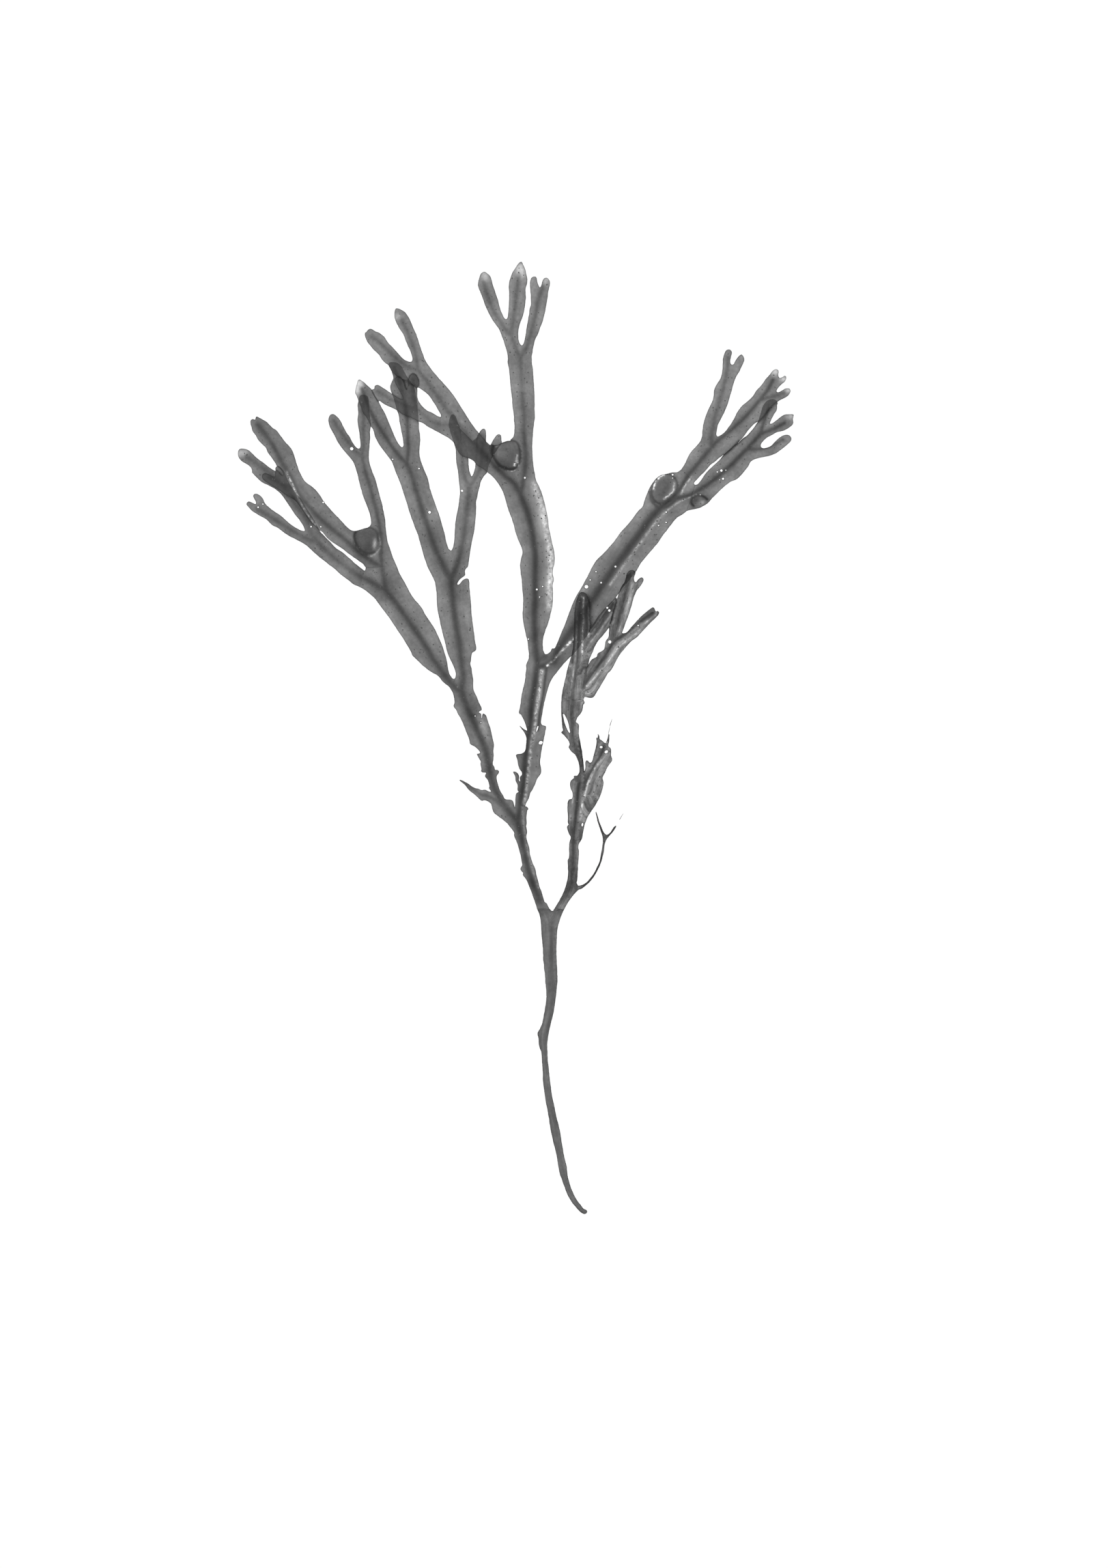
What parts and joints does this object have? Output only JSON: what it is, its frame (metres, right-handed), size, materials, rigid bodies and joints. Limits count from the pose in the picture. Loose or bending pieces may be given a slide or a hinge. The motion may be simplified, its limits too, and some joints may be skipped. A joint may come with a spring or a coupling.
{
  "type": "bladder wrack",
  "caption": "Pressed seaweed frond: a thin stipe that forks again and again into flat, ribbed straps, some swollen into air bladders, lying flat on a surface.",
  "frame": {"origin": "on the surface the frond lies on, under the middle of its bounding box", "axes": "+Y runs from the stipe's end towards the tips, +Z points away from the surface, +X to the right as seen from above"},
  "size_m": [0.1625, 0.2786, 0.0057],
  "materials": {
    "stipe": "satin, leathery",
    "blade": "thin, slightly see-through, satin",
    "worn_blade": "thin, wrinkled, dull"
  },
  "bodies": {
    "root": {"stem": "stipe", "middle_stem": "blade", "left_stem": "blade", "left_branch": "blade", "left_lower_arm": "blade", "left_upper_arm": "blade", "inner_left_branch": "blade", "inner_left_arm": "blade", "inner_right_arm": "blade", "centre_stem": "blade", "centre_branch": "blade", "centre_top_arm": "blade", "centre_left_arm": "blade", "centre_side_arm": "blade", "right_branch": "blade", "right_upper_arm": "blade", "right_lower_arm": "blade", "old_stem": "worn_blade", "old_left_strap": "worn_blade", "old_right_strap": "worn_blade", "side_thread": "worn_blade"}
  },
  "joints": []
}
